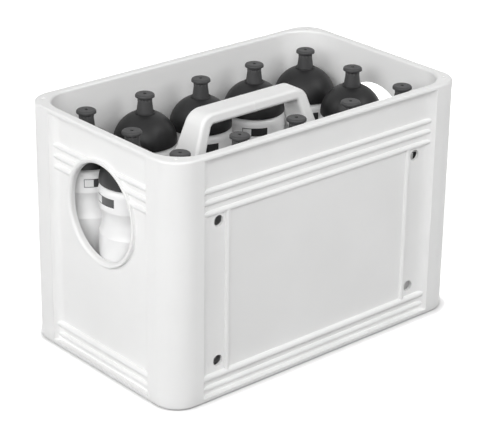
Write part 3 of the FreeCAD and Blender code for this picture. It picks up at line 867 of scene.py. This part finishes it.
@dataclass(frozen=True)
class BottleTrees:
    """The geometry trees that all bottles share.

    Args:
        thread: The thread on the neck.
        ribs: The grip ribs on the spout.
        collar: The collar at the spout's foot.
    """

    thread: bpy.types.NodeTree
    ribs: bpy.types.NodeTree
    collar: bpy.types.NodeTree


@dataclass(frozen=True)
class SpoutGrip:
    """The small forms on a spout and round its foot.

    Args:
        rib_count: How many ribs stand round the stem.
        rib_ring: The radius of the ring that the ribs stand on, in metres.
        rib_lift: Where the ribs begin above the spout's foot, in metres.
        rib_height: The ribs' height, up into the head, in metres.
        rib_thin: A rib's radius at its foot, in metres.
        rib_thick: A rib's radius under the head, in metres.
        collar_radius: The collar's radius, clear of the spout's foot, in metres.
        collar_ridge: The radius of the collar's section, in metres.
        collar_sunk: How far the collar's middle lies below the spout's foot, in metres.
    """

    rib_count: int = 12
    rib_ring: float = 6.85 * MM
    rib_lift: float = 7.0 * MM
    rib_height: float = 9.5 * MM
    rib_thin: float = 0.55 * MM
    rib_thick: float = 1.3 * MM
    collar_radius: float = 10.5 * MM
    collar_ridge: float = 0.9 * MM
    collar_sunk: float = 0.1 * MM


@dataclass
class Bottle:
    """One sports bottle with its cap, seal and spout.

    Args:
        number: The bottle's number in the crate.
        label_turn: The angle where its label changes tone, in degrees.
        materials: The finishes.
        trees: The geometry trees of its small forms.
        label: The patch on its band.
        grip: The small forms on its spout.
        neck_radius: The neck's radius, in metres.
        neck_foot: The height of the neck's foot above the bottle's own, in metres.
        thread_lift: How far above the neck's foot the thread begins, in metres.
        thread_rise: The thread's rise, in metres.
        thread_turns: How often it goes round.
        ridge: The thread's radius, in metres.
        sunk: How far the thread's middle lies inside the neck, in metres.
    """

    number: int
    label_turn: float
    materials: dict[Surface, bpy.types.Material]
    trees: BottleTrees
    label: Label = field(default_factory=Label)
    grip: SpoutGrip = field(default_factory=SpoutGrip)
    neck_radius: float = 31.2 * MM
    neck_foot: float = 196.0 * MM
    thread_lift: float = 2.4 * MM
    thread_rise: float = 4.2 * MM
    thread_turns: float = 1.6
    ridge: float = 0.6 * MM
    sunk: float = 0.17 * MM

    @property
    def tag(self) -> str:
        """The start of this bottle's node names."""
        return f"bottle_{self.number:02d}"

    @property
    def centre(self) -> Vector:
        """The bottle's axis at its foot."""
        low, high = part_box(f"{self.tag}_body")
        return Vector(((low.x + high.x) / 2, (low.y + high.y) / 2, low.z))

    def dress_solids(self) -> None:
        """Gives the bottle's CAD pieces their finishes."""
        for piece in BottlePiece:
            ending, surface = piece.value
            dress(f"{self.tag}_{ending}", self.materials[surface])

    def add_thread(self) -> None:
        """Winds the thread round the neck, clear of the cap's inside."""
        foot = self.centre
        seed = points_mesh(f"{self.tag}_thread_seed", [tuple(foot)])
        name = f"{self.tag}_thread"
        mesh = grow(self.trees.thread, {
            "Radius": self.neck_radius - self.sunk, "Rise": self.thread_rise, "Turns": self.thread_turns,
            "Ridge": self.ridge, "Foot": (0.0, 0.0, self.neck_foot + self.thread_lift),
            "Material": self.materials[Surface.BOTTLE],
        }, seed, name)
        keep_piece(name, mesh, self.tag)

    def add_label(self) -> None:
        """Adds the plain patch on the upper band."""
        low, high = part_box(f"{self.tag}_body")
        name = f"{self.tag}_label"
        inks = (self.materials[Surface.PAPER], self.materials[Surface.INK])
        mesh = self.label.mesh(name, self.centre, (high.x - low.x) / 2, self.label_turn, inks)
        keep_piece(name, mesh, self.tag)

    def spout_seed(self, name: str, lift: float) -> bpy.types.Mesh:
        """Makes the point that a small form on the spout grows from.

        Args:
            name: The form's name.
            lift: Its height above the spout's foot, in metres.

        Returns:
            A mesh of one point on the bottle's axis.
        """
        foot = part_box(f"{self.tag}_spout")[0].z
        return points_mesh(f"{name}_seed", [(self.centre.x, self.centre.y, foot + lift)])

    def add_ribs(self) -> None:
        """Adds the grip ribs under the spout's head."""
        grip = self.grip
        name = f"{self.tag}_spout_ribs"
        mesh = grow(self.trees.ribs, {
            "Count": grip.rib_count, "Radius": grip.rib_ring, "Height": grip.rib_height,
            "Thin": grip.rib_thin, "Thick": grip.rib_thick, "Material": self.materials[Surface.SPOUT],
        }, self.spout_seed(name, grip.rib_lift), name)
        keep_piece(name, mesh, f"spout_{self.number:02d}")

    def add_collar(self) -> None:
        """Adds the cap's collar round the spout's foot."""
        grip = self.grip
        name = f"{self.tag}_cap_collar"
        mesh = grow(self.trees.collar, {
            "Radius": grip.collar_radius, "Ridge": grip.collar_ridge,
            "Material": self.materials[Surface.CAP],
        }, self.spout_seed(name, -grip.collar_sunk), name)
        keep_piece(name, mesh, f"cap_{self.number:02d}")

    def build(self) -> None:
        """Dresses the bottle and adds its small forms."""
        self.dress_solids()
        self.add_thread()
        self.add_label()
        self.add_ribs()
        self.add_collar()


# Studio


@dataclass
class Lamp:
    """A soft box that points at the object.

    Args:
        name: The lamp's name.
        place: Where it hangs, in metres.
        size: Its side, in metres.
        power: Its power, in watts.
        gleam: False for a lamp whose reflections are screened off.
    """

    name: str
    place: Point
    size: float
    power: float
    gleam: bool = True

    def build(self, aim: Vector) -> None:
        """Hangs the lamp and turns it to a point."""
        light = bpy.data.lights.new(self.name, "AREA")
        light.shape = "SQUARE"
        light.size = self.size
        light.energy = self.power
        lamp = bpy.data.objects.new(self.name, light)
        lamp.location = self.place
        lamp.visible_glossy = self.gleam
        lamp.rotation_euler = (aim - Vector(self.place)).to_track_quat("-Z", "Y").to_euler()
        bpy.context.scene.collection.objects.link(lamp)


@dataclass
class Studio:
    """The white floor, the light and the camera at the photograph's angle.

    Args:
        azimuth: The camera's turn about the upright axis, in degrees.
        elevation: How far it looks down, in degrees.
        roll: Its turn about its own view, in degrees.
        place: Where it stands, in metres.
        lens: Its focal length, in millimetres.
        sensor: Its sensor's width, in millimetres.
        floor_reach: Half of the floor's side, in metres.
        floor_colour: How much light the floor throws back.
        floor_white: The same as the camera sees it, so that the lit floor is white.
        contact_shadow_corner: The corner radius of the painted contact shadow round the base, in metres.
        contact_shadow_shift: How far the painted shadow lies from the middle, away from the light.
        contact_shadow_reach: Where the painted shadow has faded out, in metres from its edge.
        contact_shadow_dark: The share of the floor's colour at the painted shadow's edge.
        fill: The light from all round.
        lamps: The soft boxes.
    """

    azimuth: float = -41.38
    elevation: float = 23.62
    roll: float = 0.86
    place: Point = (-1.23624, -1.41012, 0.94613)
    lens: float = 135.97
    sensor: float = 36.0
    floor_reach: float = 1.2
    floor_colour: float = 0.22
    floor_white: float = 2.4
    # The next four settings shape a painted contact shadow on the floor round the base
    contact_shadow_corner: float = 0.028
    contact_shadow_shift: Point = (0.001, -0.003, 0.0)
    contact_shadow_reach: float = 0.014
    contact_shadow_dark: float = 0.42
    fill: float = 0.05
    lamps: list[Lamp] = field(default_factory=lambda: [
        Lamp("left_soft_box", (-2.3, -0.7, 1.4), 1.5, 29.0),
        Lamp("back_soft_box", (-2.2, 0.6, 1.4), 1.6, 18.0),
        Lamp("right_soft_box", (0.9, -1.9, 1.8), 1.8, 32.0),
        Lamp("rear_soft_box", (2.0, 1.7, 0.55), 1.2, 48.0, gleam=False),
        Lamp("front_soft_box", (-1.7, -1.9, 1.7), 1.4, 25.0),
    ])

    def hang_lamps(self) -> None:
        """Hangs the soft boxes round the object's middle."""
        low, high = (Vector(corner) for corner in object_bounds())
        for lamp in self.lamps:
            lamp.build((low + high) / 2)

    def seen_directly(self, tree: Tree) -> bpy.types.NodeSocket:
        """Adds the test for rays that show the background itself.

        Args:
            tree: The helper of a material's or the world's node tree.

        Returns:
            1 for camera, mirror and glass rays, else 0.
        """
        path = tree.add("ShaderNodeLightPath")
        rays = [path.outputs[f"Is {kind} Ray"] for kind in ("Camera", "Glossy", "Transmission")]
        first = tree.maths("MAXIMUM", rays[0], rays[1])
        return tree.maths("MAXIMUM", first, rays[2])

    def build_world(self) -> None:
        """Makes the even light from all round, with a white background."""
        world = bpy.data.worlds.new("white_studio")
        world.use_nodes = True
        world.node_tree.nodes.clear()
        tree = Tree(world.node_tree)
        strength = tree.spread(self.seen_directly(tree), 0.0, 1.0, self.fill, 1.0)
        backdrop = tree.add("ShaderNodeBackground")
        tree.feed(backdrop, "Color", (1.0, 1.0, 1.0, 1.0))
        tree.feed(backdrop, "Strength", strength)
        tree.join(backdrop.outputs[0], tree.add("ShaderNodeOutputWorld").inputs[0])
        bpy.context.scene.world = world

    def add_painted_contact_shadow(self, tree: Tree) -> bpy.types.NodeSocket:
        """Paints a dark contact shadow on the floor where the base meets it, which fades outwards.

        Args:
            tree: The helper of the floor's node tree.

        Returns:
            The share of the floor's colour that is left.
        """
        # Painted shadow: the floor is darkened along a rounded outline of the footprint, shifted away from the
        # light
        place = tree.add("ShaderNodeTexCoord").outputs["Object"]
        low, high = (Vector(corner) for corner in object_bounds())
        core = (high - low) / 2 - Vector((self.contact_shadow_corner, self.contact_shadow_corner, 0.0))
        steps = (("SUBTRACT", self.contact_shadow_shift), ("ABSOLUTE", None), ("SUBTRACT", core), ("MAXIMUM", (0.0,) * 3))
        for operation, term in steps:
            node = tree.add("ShaderNodeVectorMath", operation=operation)
            tree.feed(node, 0, place)
            if term is not None:
                tree.feed(node, 1, term)
            place = node.outputs[0]
        reach = tree.add("ShaderNodeVectorMath", operation="LENGTH")
        tree.feed(reach, 0, place)
        away = tree.maths("SUBTRACT", reach.outputs["Value"], self.contact_shadow_corner)
        return tree.spread(away, 0.0, self.contact_shadow_reach, self.contact_shadow_dark, 1.0)

    def build_floor(self) -> None:
        """Lays the floor that the object stands on."""
        reach = self.floor_reach
        mesh = bpy.data.meshes.new("studio_floor")
        corners = [(-reach, -reach, 0.0), (reach, -reach, 0.0), (reach, reach, 0.0), (-reach, reach, 0.0)]
        mesh.from_pydata(corners, [], [(0, 1, 2, 3)])
        material = bpy.data.materials.new("white_floor")
        material.use_nodes = True
        material.node_tree.nodes.clear()
        tree = Tree(material.node_tree)
        matte = tree.add("ShaderNodeBsdfDiffuse")
        tone = tree.spread(self.seen_directly(tree), 0.0, 1.0, self.floor_colour, self.floor_white)
        # The floor's colour is multiplied by the painted contact shadow
        tree.feed(matte, "Color", tree.maths("MULTIPLY", tone, self.add_painted_contact_shadow(tree)))
        tree.join(matte.outputs[0], tree.add("ShaderNodeOutputMaterial").inputs[0])
        mesh.materials.append(material)
        floor = bpy.data.objects.new("studio_floor", mesh)
        bpy.context.scene.collection.objects.link(floor)
        floor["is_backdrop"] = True

    def build_camera(self) -> None:
        """Sets up the camera."""
        optics = bpy.data.cameras.new("photo_camera")
        optics.lens = self.lens
        optics.sensor_width = self.sensor
        optics.dof.use_dof = False
        camera = bpy.data.objects.new("photo_camera", optics)
        turn = Matrix.Rotation(math.radians(self.azimuth), 4, "Z")
        tilt = Matrix.Rotation(math.radians(90.0 - self.elevation), 4, "X")
        spin = Matrix.Rotation(math.radians(self.roll), 4, "Z")
        camera.matrix_world = Matrix.Translation(self.place) @ turn @ tilt @ spin
        bpy.context.scene.collection.objects.link(camera)
        bpy.context.scene.camera = camera

    def build(self) -> None:
        """Sets up the whole studio."""
        scene = bpy.context.scene
        scene.view_settings.view_transform = "Standard"
        self.hang_lamps()
        self.build_world()
        self.build_floor()
        self.build_camera()


# Angles where the labels change tone, in degrees, by bottle number
LABEL_TURNS: dict[int, float] = {
    1: -140.0, 2: -118.0, 3: -128.0, 4: -150.0, 5: -110.0, 6: 171.0,
    7: -132.0, 8: -115.0, 9: -122.0, 10: -125.0, 11: -134.0, 12: -134.0,
}


def main() -> None:
    """Builds the dressed object and its studio."""
    logging.basicConfig(level=logging.INFO, format="%(name)s: %(message)s")
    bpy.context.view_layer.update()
    materials = make_materials()
    Crate(materials).build()
    trees = BottleTrees(make_thread_tree(), make_ribs_tree(), make_collar_tree())
    for number, turn in LABEL_TURNS.items():
        Bottle(number, turn, materials, trees).build()
    Studio().build()


if __name__ == "__main__":
    main()
